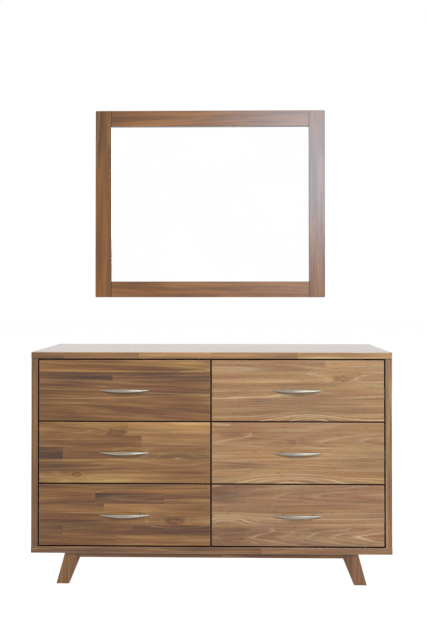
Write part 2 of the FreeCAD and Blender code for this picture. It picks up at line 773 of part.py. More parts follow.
FACE_BACK = FreeCAD.Rotation(FreeCAD.Vector(1, 0, 0), -90)
hangers, bumpers = [], []
for side, sign in COLUMNS.items():
    middle = "%d * hanger_x" % sign
    plate = new_body(side + "_hanger")
    pad(plate, "XZ_Plane", [rectangle(
        middle + " - hanger_width / 2", "mirror_height - hanger_drop - hanger_height / 2",
        middle + " + hanger_width / 2", "mirror_height - hanger_drop + hanger_height / 2",
    )], "hanger_metal", against_normal=True)
    slot = rectangle(
        middle + " - keyhole_slot / 2", keyhole_low,
        middle + " + keyhole_slot / 2", keyhole_low + " + keyhole_rise",
    )
    pocket(plate, "XZ_Plane", [slot], "hanger_metal", offset="-hanger_metal", along_normal=True)
    hole = plate.newObject("PartDesign::SubtractiveCylinder", side + "_keyhole")
    front_view = next(item for item in plate.Origin.OriginFeatures if item.Role == "XZ_Plane")
    hole.AttachmentSupport = [(front_view, "")]
    hole.MapMode = "FlatFace"
    bind(hole, Radius="keyhole_radius", Height="hanger_metal", AttachmentOffset__Base__z="-hanger_metal")
    bind(hole, AttachmentOffset__Base__x=middle, AttachmentOffset__Base__y=keyhole_low)
    hangers.append(place(plate, "mirror_shift", "mirror_back", "mirror_bottom"))
    bumper = doc.addObject("Part::Cylinder", side + "_bumper")
    bumper.Label = side + "_bumper"
    bumper.Placement.Rotation = FACE_BACK
    bind(bumper, Radius="bumper_radius", Height="mirror_standoff")
    bumpers.append(place(bumper, "mirror_shift + " + middle, "mirror_back", "mirror_bottom + bumper_inset"))
keep(group("mirror_hangers", hangers))
keep(group("mirror_bumpers", bumpers))

# ---------------------------------------------------------------- checking and writing

doc.removeObject(scratch.Name)
doc.recompute()
for item in doc.Objects:
    if "Invalid" in item.State or "Error" in item.State:
        raise RuntimeError("%s could not be worked out: %s" % (item.Label, item.State))
for piece in SUBPARTS:
    if piece.Shape.isNull() or not piece.Shape.isValid() or not piece.Shape.Solids:
        raise RuntimeError("%s is not a sound solid" % piece.Label)

os.makedirs("parts", exist_ok=True)
for piece in SUBPARTS:
    piece.Shape.exportStep("parts/%s.step" % piece.Label)
print("%d sub-parts written" % len(SUBPARTS))
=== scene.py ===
import json
import math
import random
from collections import namedtuple

import bmesh
import bpy
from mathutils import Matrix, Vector


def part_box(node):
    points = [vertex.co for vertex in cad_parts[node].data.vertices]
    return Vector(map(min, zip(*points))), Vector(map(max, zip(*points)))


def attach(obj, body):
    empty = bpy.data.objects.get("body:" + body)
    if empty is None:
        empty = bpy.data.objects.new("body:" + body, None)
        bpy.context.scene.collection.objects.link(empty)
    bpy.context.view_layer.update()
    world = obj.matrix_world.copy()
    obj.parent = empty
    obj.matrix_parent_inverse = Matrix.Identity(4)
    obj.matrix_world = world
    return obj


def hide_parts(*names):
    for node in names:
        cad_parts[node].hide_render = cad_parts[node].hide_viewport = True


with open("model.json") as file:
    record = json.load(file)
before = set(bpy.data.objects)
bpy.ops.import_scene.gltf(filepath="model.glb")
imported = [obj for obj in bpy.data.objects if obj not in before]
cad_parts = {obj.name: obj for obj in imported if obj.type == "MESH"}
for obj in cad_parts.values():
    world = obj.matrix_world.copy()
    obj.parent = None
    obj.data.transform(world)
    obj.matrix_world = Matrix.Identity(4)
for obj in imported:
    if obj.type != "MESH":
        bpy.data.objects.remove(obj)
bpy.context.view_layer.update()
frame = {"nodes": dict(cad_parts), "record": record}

MM = 0.001
BOTH_SIGNS = (-1, 1)

record = frame["record"]
nodes = frame["nodes"]
SLOT_OF = {part["node"]: part["material_slot"] for part in record["subparts"]}
BODY_OF = {node: body for body, members in record["behaviour"]["bodies"].items() for node in members}

# -------- colours and node helpers


def linear(red, green, blue):
    """A linear colour from the 0 to 255 values of a screen colour, by the sRGB curve."""
    channels = []
    for value in (red, green, blue):
        share = value / 255
        channels.append(share / 12.92 if share <= 0.04045 else ((share + 0.055) / 1.055) ** 2.4)
    return (*channels, 1.0)


def spaced(*colours):
    """The stops of a colour ramp that runs evenly through the screen colours."""
    return [(number / (len(colours) - 1), linear(*colour)) for number, colour in enumerate(colours)]


def mottled(darker, paler, first=0.3):
    """Stops between two screen colours for noise, which keeps near the middle of the ramp."""
    return (first, linear(*darker)), (1 - first, linear(*paler))


# How many features noise draws per metre along X, which is the grain of wood, and along Y and Z.
FEATURES = {
    "wander": (1.5, 10, 10),
    "ripple": (8, 55, 55),
    "knot": (45, 130, 130),
    "ring_spacing": (0, 24, 24),
    "ring_strength": (3, 22, 22),
    "broad": (1.6, 60, 60),
    "streak": (5, 150, 150),
    "fibre": (14, 480, 480),
    "patch": (2.4, 20, 20),
    "pore": (34, 1100, 1100),
    "fleck": (38, 190, 190),
    "hue": (2.4, 26, 26),
    "sheet_fibre": (14, 300, 300),
    "sheet_cloud": (2.2, 30, 30),
    "pull_lines": (40, 40, 900),
    "slide_lines": (900, 20, 900),
    "hanger_lines": (500, 500, 40),
    "metal_tone": (60, 60, 60),
    "haze": (3, 3, 3),
    "rubber": (900, 900, 900),
}


class Tree:
    """The nodes of a material or a world, with one short method for each kind of node."""

    def __init__(self, owner):
        owner.use_nodes = True
        self.owner = owner
        self.nodes = owner.node_tree.nodes
        self.links = owner.node_tree.links
        self.nodes.clear()

    def put(self, socket, value):
        if isinstance(value, bpy.types.NodeSocket):
            self.links.new(value, socket)
        else:
            socket.default_value = value

    def node(self, kind, *values, operation=None, **named):
        """A new node, with its inputs set or linked in their own order, or by name.

        An underscore in a name stands for a space.
        """
        node = self.nodes.new("ShaderNode" + kind)
        if operation:
            node.operation = operation
        for socket, value in zip(node.inputs, values):
            self.put(socket, value)
        for name, value in named.items():
            self.put(node.inputs[name.replace("_", " ")], value)
        return node

    def surface(self, **named):
        """Ends a material with its surface, and gives the material."""
        shader = self.node("BsdfPrincipled", **named)
        self.node("OutputMaterial", shader.outputs["BSDF"])
        return self.owner

    def attribute(self, name):
        node = self.node("Attribute")
        node.attribute_name = name
        return node.outputs["Vector"]

    def position(self):
        return self.node("TexCoord").outputs["Object"]

    def split(self, vector):
        return self.node("SeparateXYZ", vector).outputs[:]

    def vector(self, operation, *values):
        outputs = self.node("VectorMath", *values, operation=operation).outputs
        return outputs["Value" if operation == "LENGTH" else "Vector"]

    def maths(self, operation, *values):
        return self.node("Math", *values, operation=operation).outputs["Value"]

    def times(self, value, factor):
        return self.maths("MULTIPLY", value, factor)

    def add(self, total, weight, value):
        """The total plus the weight times the value."""
        return self.maths("MULTIPLY_ADD", value, weight, total)

    def near(self, distance):
        """1 at no distance, a third at a distance of 1, and next to nothing at 2."""
        return self.maths("EXPONENT", self.times(self.times(distance, distance), -1.0))

    def noise(self, at, kind, detail=2.0, roughness=0.5, output="Fac"):
        """Noise from 0 to 1, with as many features per metre as its kind has."""
        place = self.vector("MULTIPLY", at, FEATURES[kind])
        node = self.node("TexNoise", Vector=place, Scale=1.0, Detail=detail, Roughness=roughness)
        return node.outputs[output]

    def swing(self, *settings):
        """The same noise about zero."""
        return self.maths("SUBTRACT", self.noise(*settings), 0.5)

    def drift(self, at, kind, detail):
        """Three such noises about zero, as a vector."""
        return self.vector("SUBTRACT", self.noise(at, kind, detail, output="Color"), (0.5, 0.5, 0.5))

    def ramp(self, value, stops):
        """A ramp through (place, colour) stops; a plain number is a grey."""
        node = self.node("ValToRGB", value)
        elements = node.color_ramp.elements
        while len(elements) < len(stops):
            elements.new(0.5)
        for element, (place, colour) in zip(elements, stops):
            element.position = place
            element.color = colour if isinstance(colour, tuple) else (colour, colour, colour, 1.0)
        return node.outputs["Color"]

    def blend(self, share, first, second):
        node = self.node("Mix", share)
        node.data_type = "RGBA"
        colours = [socket for socket in node.inputs if socket.type == "RGBA"]
        self.put(colours[0], first)
        self.put(colours[1], second)
        return next(socket for socket in node.outputs if socket.type == "RGBA")

    def tint(self, colour, amount, change):
        """The colour times factors of 1 plus the amount times the change."""
        return self.vector("MULTIPLY", colour, self.vector("MULTIPLY_ADD", amount, change, (1, 1, 1)))

    def bump(self, height, distance, strength):
        return self.node("Bump", Height=height, Distance=distance, Strength=strength).outputs["Normal"]


# -------- wood

# Each wood's colours, from its darkest streaks to its palest: the case and the left fronts, the
# right fronts, the mirror's frame, and the drawer boxes.
STAINED = spaced((48, 28, 18), (80, 49, 28), (112, 71, 39), (142, 97, 55), (173, 126, 76), (204, 158, 105))
LIGHTER = spaced((48, 29, 23), (80, 52, 35), (112, 73, 47), (142, 99, 63), (173, 129, 84), (204, 161, 113))
FRAME = spaced((46, 24, 8), (80, 46, 14), (116, 70, 24), (150, 96, 42), (184, 130, 70), (214, 166, 106))
PALE = spaced((176, 138, 92), (211, 179, 132), (232, 208, 166))
# The colour of the painted shade in and round the gaps, and of the painted highlight on rounded edges.
GAP_SHADE = linear(54, 14, 3)
PALE_RIM_HIGHLIGHT = linear(206, 176, 146)

# How far the grain wanders and ripples across itself, and how far a knot or a swell pushes it.
WANDER = (0, 16 * MM, 16 * MM)
RIPPLE = (0, 3 * MM, 3 * MM)
BULGE = 30 * MM
# How fast a knot's push fades and how ragged the knot is, both in its half-sizes.
BULGE_FADE = -0.9
KNOT_RAGGED = (1.1, 1.1, 0)
RINGS_PER_METRE = 100.0
# How many rings the noise of their spacing adds, how few of them are strong (the higher, the
# fewer), and how much a swell strengthens them.
RING_DRIFT = 3.0
RING_POWER = 2.5
SWELL_LINES = 0.27
# The pale early line of a ring, from its start to the next ring's.
RING_LINE = ((0.0, 1.0), (0.09, 0.55), (0.3, 0.08), (0.8, 0.0), (1.0, 0.35))
# A knot has a dark ring round a paler heart.
KNOT_RING = ((0.0, 0.15), (0.3, 0.5), (0.55, 1.0), (0.85, 0.35), (1.0, 0.0))
# The highest parts of their noises are the pores and the flecks, which are short dark dashes.
PORES = ((0.60, 0.0), (0.72, 1.0))
FLECKS = ((0.63, 0.0), (0.72, 1.0))
# How far each thing moves the shade, which runs from 0 to 1 along a wood's stops.
WEIGHT = {
    "broad": 0.60, "streak": 0.40, "fibre": 0.15, "patch": 0.66, "band": 0.08,
    "pore": -0.10, "stain_and_shade": -0.17, "knot": -0.24,
}
# What one step towards golden or towards red adds to the factors of a colour, and how many steps
# the noise of the hue makes.
GOLDEN = (0.02, 0.02, -0.16)
REDDISH = (0.07, -0.05, -0.06)
GOLDEN_STEPS = 2.2
REDDISH_STEPS = 3.0
# How much of the wood's colour the painted shade in the gaps and the painted highlight on the rounded
# edges cover.
GAP_SHADE_COVER = 0.85
RIM_HIGHLIGHT_COVER = 0.45


def grain_of(tree, at):
    """The grain, which wanders along the stave and bulges round a knot or a swell.

    Gives the wavy place in the wood, its distance from the heart of the tree, the distance from
    the knot in its own half-sizes, and how near the swell is.
    """
    wavy = tree.vector("MULTIPLY_ADD", tree.drift(at, "wander", 1.0), WANDER, at)
    wavy = tree.vector("MULTIPLY_ADD", tree.drift(at, "ripple", 2.0), RIPPLE, wavy)
    ragged = tree.drift(at, "knot", 1.0)
    from_knot = tree.vector("MULTIPLY_ADD", ragged, KNOT_RAGGED, tree.attribute("knot_at"))
    from_knot = tree.vector("LENGTH", from_knot)
    swell = tree.near(tree.vector("LENGTH", tree.attribute("swell_at")))
    radius = tree.vector("LENGTH", tree.vector("MULTIPLY", wavy, (0, 1, 1)))
    radius = tree.add(radius, BULGE, tree.maths("EXPONENT", tree.times(from_knot, BULGE_FADE)))
    radius = tree.add(radius, BULGE, swell)
    return wavy, radius, from_knot, swell


def rings_of(tree, at, wavy, radius, swell, ringed):
    """A pale early line in each ring, of uneven strength, and each ring's own tone about zero."""
    phase = tree.times(radius, RINGS_PER_METRE)
    phase = tree.add(phase, RING_DRIFT, tree.noise(wavy, "ring_spacing", 1.0))
    chance = tree.node("TexWhiteNoise")
    chance.noise_dimensions = "1D"
    tree.put(chance.inputs["W"], tree.maths("FLOOR", phase))
    chosen = tree.maths("POWER", chance.outputs["Value"], RING_POWER)
    strength = tree.times(chosen, tree.noise(at, "ring_strength", 1.0))
    strength = tree.add(strength, SWELL_LINES, swell)
    line = tree.ramp(tree.maths("FRACT", phase), RING_LINE)
    lines = tree.times(line, tree.times(strength, ringed))
    return lines, tree.maths("SUBTRACT", chance.outputs["Value"], 0.5)


def wood(
    name, stops, line,
    contrast=1.0, fleck=0.0, ringed=1.1,
    coat=1.0, coat_roughness=0.25, coat_ior=1.36,
):
    """Lacquered wood whose growth rings run round an axis near each stave.

    It reads five attributes of the boards. wood_at is the place in the stave's own wood, in metres,
    with X along the grain and the rings round X. knot_at, swell_at and patch_at are the way from the
    stave's knot, from a swell in its grain and from a dark patch, in their own half-sizes. The last
    holds how pale the stave is, how golden it is, and painted light: a painted highlight on rounded
    edges below 0, and painted shade in the gaps above 0.
    """
    tree = Tree(bpy.data.materials.new(name))
    at = tree.attribute("wood_at")
    tone, gold, edge = tree.split(tree.attribute("dye_and_painted_light"))
    wavy, radius, from_knot, swell = grain_of(tree, at)
    lines, band = rings_of(tree, at, wavy, radius, swell, ringed)

    # broad streaks, narrow streaks, fibres, patches of heavier stain, and the rings' own tones
    fibre = tree.swing(wavy, "fibre", 2.0, 0.6)
    uneven = {
        "broad": tree.swing(wavy, "broad", 2.0, 0.5),
        "streak": tree.swing(wavy, "streak", 2.0, 0.55),
        "fibre": fibre,
        "patch": tree.swing(at, "patch", 2.0, 0.5),
        "band": band,
    }
    shade = tone
    for kind, swing in uneven.items():
        shade = tree.add(shade, WEIGHT[kind] * contrast, swing)
    stain_and_shade = tree.near(tree.vector("LENGTH", tree.attribute("patch_at")))
    shade = tree.add(shade, WEIGHT["stain_and_shade"], stain_and_shade)

    pore = tree.ramp(tree.noise(at, "pore", 1.0), PORES)
    shade = tree.add(shade, WEIGHT["pore"] * contrast, pore)
    shade = tree.add(shade, -fleck, tree.ramp(tree.noise(at, "fleck", 1.0), FLECKS))
    shade = tree.add(shade, WEIGHT["knot"], tree.ramp(from_knot, KNOT_RING))

    # the hue drifts between golden and plum, and towards red; painted shade in the gaps and a painted
    # highlight on rounded edges come last
    golden, reddish, _ = tree.split(tree.drift(at, "hue", 2.0))
    colour = tree.blend(lines, tree.ramp(shade, stops), line)
    colour = tree.tint(colour, tree.add(gold, GOLDEN_STEPS, golden), GOLDEN)
    colour = tree.tint(colour, tree.times(reddish, REDDISH_STEPS), REDDISH)
    # the third part of that attribute paints shade where it is above 0, and a highlight where it is below
    # 0
    painted_gap_shade = tree.times(tree.maths("MAXIMUM", edge, 0.0), GAP_SHADE_COVER)
    rim_highlight = tree.times(tree.maths("MINIMUM", edge, 0.0), -RIM_HIGHLIGHT_COVER)
    colour = tree.blend(rim_highlight, tree.blend(painted_gap_shade, colour, GAP_SHADE), PALE_RIM_HIGHLIGHT)

    return tree.surface(
        Base_Color=colour,
        Roughness=tree.add(0.5, 0.25, fibre),
        Specular_IOR_Level=0.12,
        Coat_Weight=coat,
        Coat_Roughness=coat_roughness,
        Coat_IOR=coat_ior,
        Normal=tree.bump(tree.add(fibre, -1.2, pore), 0.12 * MM, 0.5),
    )


LINE = linear(196, 154, 96)
# The wood of each material slot, and the lighter wood of the right column's fronts.
WOODS = {
    "drawer_front_wood": wood("front_wood", STAINED, LINE),
    "light_front": wood(
        "light_front_wood", LIGHTER, linear(222, 186, 142), contrast=0.62, fleck=0.14, ringed=1.85,
    ),
    "case_wood": wood("case_wood", STAINED, LINE, coat_roughness=0.16, coat_ior=1.45),
    "mirror_frame_wood": wood(
        "mirror_wood", FRAME, linear(186, 132, 78),
        contrast=0.8, ringed=1.0, coat_roughness=0.27, coat_ior=1.42,
    ),
    "base_wood": wood("base_wood", STAINED, LINE, contrast=0.9),
    "inner_wood": wood("inner_wood", STAINED, LINE, contrast=0.5, ringed=0.5, coat=0.2),
    "box_wood": wood("box_wood", PALE, linear(236, 214, 178), contrast=0.5, ringed=0.5, coat=0.4),
}

# -------- boards glued up from staves

# A board's plan is a list of strips, and a strip is (share of the board's width, staves). A stave
# is (where it ends, as a share of the length, how pale it is, how golden it is), and may add the
# lean of its rings and the slope of its grain, in degrees, and how far up its width the heart of
# its tree lies. The strips run from the top of a drawer front down, the staves from its left.
Stave = namedtuple("Stave", "end pale golden lean slope heart", defaults=(None, None, 0.5))
FRONTS = {
    "top_left": (
        (0.20, ((1.00, 0.48, 0.6),)),
        (0.15, ((0.43, 0.30, -0.7), (1.00, 0.39, -0.2))),
        (0.37, ((1.00, 0.435, 0.0, 0.8, -1.0),)),
        (0.28, ((1.00, 0.44, 0.2, 0.6, -3.4),)),
    ),
    "middle_left": (
        (0.22, ((0.52, 0.52, 0.5, 0.8, -2.5), (1.00, 0.69, 0.2, 0.5, -1.2))),
        (0.19, ((0.60, 0.52, 0.0), (1.00, 0.61, -0.1))),
        (0.20, ((0.14, 0.32, -0.7), (1.00, 0.55, -0.2, 0.7, 1.5))),
        (0.20, ((1.00, 0.59, 0.0),)),
        (0.19, ((1.00, 0.57, 0.2, 0.6, 0.8),)),
    ),
    "bottom_left": (
        (0.14, ((0.36, 0.49, 0.4, 0.6, -2.0), (1.00, 0.48, 0.2))),
        (0.18, ((0.33, 0.45, 0.1), (0.73, 0.34, -0.7), (1.00, 0.53, 0.0))),
        (0.14, ((0.38, 0.48, 0.1), (1.00, 0.63, 0.2))),
        (0.20, ((0.62, 0.49, 0.0, 0.7, 0.6), (1.00, 0.61, -0.1, 0.5, 0.4))),
        (0.17, ((0.14, 0.37, -0.3), (0.55, 0.43, 0.0), (1.00, 0.35, -0.6))),
        (0.17, ((0.45, 0.46, 0.3, 0.6, -1.5), (1.00, 0.54, 0.2))),
    ),
    "top_right": (
        (0.20, ((0.66, 0.70, 0.2), (1.00, 0.73, 0.0))),
        (0.17, ((1.00, 0.71, 0.2, 0.6, 1.6),)),
        (0.14, ((1.00, 0.67, 0.2, 0.6, 0.4),)),
        (0.49, ((1.00, 0.67, 0.1, 0.5, 0.6, 1.0),)),
    ),
    "middle_right": (
        (0.18, ((1.00, 0.69, 0.1, -1.2, 0.6),)),
        (0.22, ((1.00, 0.68, 0.0, -3.0, 0.6),)),
        (0.24, ((1.00, 0.74, 0.2, 0.6, 0.3),)),
        (0.12, ((1.00, 0.69, 0.0),)),
        (0.24, ((1.00, 0.70, 0.1, 0.4, -0.4, 1.8),)),
    ),
    "bottom_right": (
        (0.30, ((1.00, 0.63, -0.6, -2.2, 0.6),)),
        (0.40, ((1.00, 0.68, -0.5, 0.4, 0.5, 1.6),)),
        (0.30, ((1.00, 0.65, -0.6, -4.8, 0.0, 0.62),)),
    ),
}
# The fronts' knots, swells and dark patches, as (share of the front's width, share of its height
# from the top, half-length, half-height), the last two in metres. Each kind is named after the
# attribute that gives the way from it.
FRONT_MARKINGS = {
    "knot_at": {
        "top_right": ((0.755, 0.30, 0.046, 0.015),),
        "middle_left": ((0.45, 0.17, 0.046, 0.019), (0.22, 0.86, 0.026, 0.011)),
        "bottom_left": ((0.79, 0.60, 0.044, 0.017),),
        "middle_right": ((0.47, 0.33, 0.012, 0.006),),
    },
    "swell_at": {
        "top_right": ((0.56, 1.02, 0.135, 0.066),),
        "middle_right": ((0.45, 0.98, 0.200, 0.050),),
        "bottom_right": ((0.08, 0.585, 0.120, 0.027),),
        "middle_left": ((0.80, 0.55, 0.150, 0.030),),
    },
    "patch_at": {
        "top_left": ((0.85, 0.60, 0.130, 0.040), (0.70, 0.96, 0.160, 0.020)),
        "middle_left": (
            (0.30, 0.52, 0.120, 0.020), (0.10, 0.72, 0.300, 0.035), (0.16, 0.91, 0.300, 0.040),
        ),
        "bottom_left": ((0.25, 0.62, 0.160, 0.020),),
        "top_right": ((0.26, 0.66, 0.060, 0.016), (0.22, 0.92, 0.120, 0.030)),
        "middle_right": ((0.17, 0.71, 0.110, 0.014), (0.15, 0.18, 0.090, 0.020)),
        "bottom_right": (
            (0.05, 0.18, 0.075, 0.045), (0.12, 0.86, 0.110, 0.040), (0.97, 0.58, 0.030, 0.022),
        ),
    },
}
ATTRIBUTES = ("wood_at", *FRONT_MARKINGS, "dye_and_painted_light")
FAR_AWAY = Vector((90.0, 90.0, 90.0))

# The staves along the front edges of the panels, from the left or the bottom, and their depth.
FRONT_EDGES = {
    "top_panel": (
        (0.09, 0.55, 0.5), (0.30, 0.63, 0.4), (0.50, 0.64, 0.2), (0.74, 0.69, 0.1), (1.0, 0.75, -0.3),
    ),
    "bottom_panel": ((0.20, 0.40, 0.2), (0.64, 0.43, 0.2), (1.0, 0.475, -0.3)),
    "left_side_panel": ((0.998, 0.24, 1.2), (1.0, 0.05, 0.0)),
    "right_side_panel": ((0.998, 0.52, -0.7), (1.0, 0.10, 0.0)),
}
FRONT_EDGE_DEPTH = 26 * MM
# The directions, as (axis, sign), in which each kind of board has gaps, the inside of the case or
# the glass. Flat sides and rounded edges that look that way get painted shade.
INWARD = {
    "top_panel": ((2, -1),),
    "bottom_panel": ((2, 1),),
    "left_side_panel": ((0, 1),),
    "right_side_panel": ((0, -1),),
    "drawer_front": ((0, -1), (0, 1), (2, -1), (2, 1)),
    "mirror_left_stile": ((0, 1),),
    "mirror_right_stile": ((0, -1),),
    "mirror_top_rail": ((2, -1),),
    "mirror_bottom_rail": ((2, 1),),
}
# Flat sides lie square to an axis, or are at least this wide. Rounded edges have narrower strips.
SQUARE_ON = 0.9995
LEAST_FLAT = 4 * MM
# How much of a face's normal points into a gap where it is fully, mostly or partly darkened by painted
# shade.
FULLY, MOSTLY, PARTLY = 0.9, 0.6, 0.2
# Corners this close are one corner, and faces this close to one plane, in radians, are one face.
SAME_CORNER = 0.001 * MM
SAME_PLANE = 1e-4
# Faces look smooth where they meet level, and where the strips of a rounded edge meet.
LEVEL = 1e-3
ROUNDED = math.radians(32)
# How near a cut a corner counts as on it, how far a solid's faces may lie outside its box, and how
# far the outer staves are taken past the board.
CUT_SLACK = 0.0001 * MM
BOX_SLACK = 0.01 * MM
JUST_OVER = 1 * MM
# What random staves and strips draw, as shares of the usual length and width.
FIRST_LENGTH, LENGTHS, LEAST_LENGTH = (0.2, 1.0), (0.7, 1.3), 0.15
WIDTHS = (0.75, 1.25)
GOLDEN_SPREAD = (-0.6, 0.6)
# Where the heart of a stave's tree lies: along the log, well aside of most staves and close to the
# others, and behind the face, in metres. The lean of the rings and the slope of the grain are in
# degrees.
ALONG_LOG = (-20, 20)
ASIDE_SHARE, WELL_ASIDE, CLOSE_BY = 0.6, (0.05, 0.14), (-0.02, 0.02)
BEHIND_FACE = (0.015, 0.06)
LEANS, SLOPES = (0.3, 1.3), (-1.6, 1.6)


def random_staves(dice, length, pale, spread, stave):
    """A strip's staves, each about as long as the given stave."""

    def pale_and_golden():
        return pale + dice.uniform(-spread, spread), dice.uniform(*GOLDEN_SPREAD)

    staves = []
    end = dice.uniform(*FIRST_LENGTH) * stave
    while end < length - LEAST_LENGTH * stave:
        staves.append((end / length, *pale_and_golden()))
        end += dice.uniform(*LENGTHS) * stave
    staves.append((1.0, *pale_and_golden()))
    return staves


def random_strips(dice, width, length, pale, spread, strip, stave):
    """A plan of strips about as wide as the given strip."""
    count = max(1, round(width / strip))
    shares = [dice.uniform(*WIDTHS) for _ in range(count)]
    whole = sum(shares)
    return [(share / whole, random_staves(dice, length, pale, spread, stave)) for share in shares]


def slice_mesh(mesh, faces, axis, place):
    """Cuts the given faces where a plane across the axis meets them."""
    normal = Vector((0, 0, 0))
    normal[axis] = 1
    edges = {edge for face in faces for edge in face.edges}
    corners = {corner for face in faces for corner in face.verts}
    parts = [*faces, *edges, *corners]
    bmesh.ops.bisect_plane(mesh, geom=parts, dist=CUT_SLACK, plane_co=normal * place, plane_no=normal)


def loose_parts(mesh):
    """The faces of each separate solid."""
    left, parts = set(mesh.faces), []
    while left:
        found, front = set(), [next(iter(left))]
        while front:
            face = front.pop()
            if face in found:
                continue
            found.add(face)
            front += [other for edge in face.edges for other in edge.link_faces if other not in found]
        left -= found
        parts.append(sorted(found, key=lambda face: face.index))
    return sorted(parts, key=lambda part: part[0].index)


def corner_box(faces):
    points = [corner.co for face in faces for corner in face.verts]
    low = Vector([min(point[axis] for point in points) for axis in range(3)])
    high = Vector([max(point[axis] for point in points) for axis in range(3)])
    return low, high


def between(faces, axis, low, high):
    return [face for face in faces if low < face.calc_center_median()[axis] < high]


def solid_of(mesh, low, high):
    """The faces of the mesh that lie in a solid's box."""
    inside = []
    for face in mesh.faces:
        middle = face.calc_center_median()
        if all(low[axis] - BOX_SLACK <= middle[axis] <= high[axis] + BOX_SLACK for axis in range(3)):
            inside.append(face)
    return inside


def is_flat(face):
    """Whether a face is part of a broad flat side and not one strip of a rounded edge."""
    if max(abs(part) for part in face.normal) > SQUARE_ON:
        return True
    return face.calc_area() / max(edge.calc_length() for edge in face.edges) > LEAST_FLAT


def edge_shade_and_highlight(face, inward, rim_highlight):
    """Painted shade of 1 on a flat side that looks into a gap, and 0 on the others.

    A rounded edge gets painted shade where it turns into a gap, and a painted highlight, which is
    below 0, elsewhere. The edges above a gap, which face down, get more of the painted shade.
    """
    into_gap = max([face.normal[axis] * sign for axis, sign in inward], default=0.0)
    if is_flat(face):
        return float(into_gap > FULLY)
    if into_gap > MOSTLY:
        return 0.9
    if into_gap > PARTLY and face.normal.z < -PARTLY:
        return 0.6
    return -rim_highlight


def marking_of(markings, start, end, base, top):
    """The first of the markings that reaches the stave, or None."""
    for along, across, half_length, half_height in markings:
        reaches_along = start - half_length < along < end + half_length
        if reaches_along and base - half_height < across < top + half_height:
            return along, across, half_length, half_height
    return None


def way_from(marking, along, across):
    """The way from a marking's middle, in its own half-sizes."""
    if marking is None:
        return FAR_AWAY
    middle_along, middle_across, half_length, half_height = marking
    return Vector(((along - middle_along) / half_length, (across - middle_across) / half_height, 0))


def grown(dice, stave, axes, base, top, face_at):
    """The heart of a stave's tree, and the tangents of its rings' lean and of its grain's slope."""
    grain, width, depth = axes
    well_aside = dice.random() < ASIDE_SHARE
    heart = Vector((0, 0, 0))
    heart[grain] = dice.uniform(*ALONG_LOG)
    if well_aside:
        aside = dice.choice(BOTH_SIGNS) * dice.uniform(*WELL_ASIDE)
    else:
        aside = dice.uniform(*CLOSE_BY)
    heart[width] = (base + top) / 2 + aside
    heart[depth] = face_at + dice.uniform(*BEHIND_FACE)
    lean = math.radians(dice.uniform(*LEANS)) * dice.choice(BOTH_SIGNS)
    slope = math.radians(dice.uniform(*SLOPES))
    if stave.lean is not None:
        lean, slope = math.radians(stave.lean), math.radians(stave.slope)
        heart[width] = base + stave.heart * (top - base)
    return heart, math.tan(lean), math.tan(slope)


def dress_stave(faces, stave, growth, axes, span, layers, board):
    """Writes into each corner of a stave's faces where it lies in its own wood, its tone and hue, and the
    painted shade and highlight of its edges.
    """
    grain, width, depth = axes
    start, end, base, top = span
    heart, lean, slope = growth
    near = {kind: marking_of(markings, *span) for kind, markings in board["markings"].items()}
    for face in faces:
        edge = edge_shade_and_highlight(face, board["inward"], board["rim_highlight"])
        for loop in face.loops:
            place = loop.vert.co
            along = place[grain] - (start + end) / 2
            across = place[width] - heart[width] - along * slope
            through = place[depth] - heart[depth] - along * lean
            loop[layers["wood_at"]] = (along + heart[grain], across, through)
            # the third value is painted light: shade in the gaps and on boards seen through them, and a
            # highlight on rounded edges
            loop[layers["dye_and_painted_light"]] = (stave.pale, stave.golden, edge + board["stain_and_shade"])
            for kind, marking in near.items():
                loop[layers[kind]] = way_from(marking, place[grain], place[width])


def dress_solid(mesh, layers, faces, label, board):
    """Cuts one solid of a board's node into its staves and dresses each."""
    dice = random.Random(label)
    low, high = corner_box(faces)
    size = high - low
    axes = sorted(range(3), key=lambda axis: -size[axis])
    grain, width, depth = axes
    strips = board["plan"] or random_strips(dice, size[width], size[grain], *board["staves"])
    if board["front_edge"]:
        share = FRONT_EDGE_DEPTH / size[width]
        strips = [(part * (1 - share), staves) for part, staves in strips]
        strips.append((share, board["front_edge"]))
    whole = set(faces)
    top = high[width] + JUST_OVER
    reached = high[width]
    for number, (share, staves) in enumerate(strips):
        reached -= share * size[width]
        base = reached
        if number == len(strips) - 1:
            base = low[width] - JUST_OVER
        else:
            slice_mesh(mesh, whole, width, base)
            whole = solid_of(mesh, low, high)
        strip_faces = between(whole, width, base, top)
        staves = [Stave(*values) for values in staves]
        ends = [low[grain] + stave.end * size[grain] for stave in staves]
        for end in ends[:-1]:
            slice_mesh(mesh, strip_faces, grain, end)
            whole = solid_of(mesh, low, high)
            strip_faces = between(whole, width, base, top)
        ends[-1] += JUST_OVER
        start = low[grain] - JUST_OVER
        for stave, end in zip(staves, ends):
            growth = grown(dice, stave, axes, base, top, high[depth])
            stave_faces = between(strip_faces, grain, start, end)
            dress_stave(stave_faces, stave, growth, axes, (start, end, base, top), layers, board)
            start = end
        top = base


def smooth_rounded_edges(mesh):
    """Smooth shading over rounded edges and level cuts, and sharp edges elsewhere."""
    for edge in mesh.edges:
        angle = edge.calc_face_angle(0)
        rounded = angle < ROUNDED and not any(is_flat(face) for face in edge.link_faces)
        edge.smooth = len(edge.link_faces) == 2 and (angle < LEVEL or rounded)
    for face in mesh.faces:
        face.smooth = True


def add_object(name, data):
    item = bpy.data.objects.new(name, data)
    bpy.context.scene.collection.objects.link(item)
    return item


def add_mesh(mesh, name, material):
    """Turns mesh code into an object of one material."""
    data = bpy.data.meshes.new(name)
    mesh.to_mesh(data)
    mesh.free()
    data.materials.append(material)
    return add_object(name, data)


def add_piece(mesh, name, material, node, stands_for=True):
    """Adds a piece that rides with a CAD node, and may stand for it."""
    piece = add_mesh(mesh, name, material)
    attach(piece, BODY_OF[node])
    if stands_for:
        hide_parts(node)
    return piece


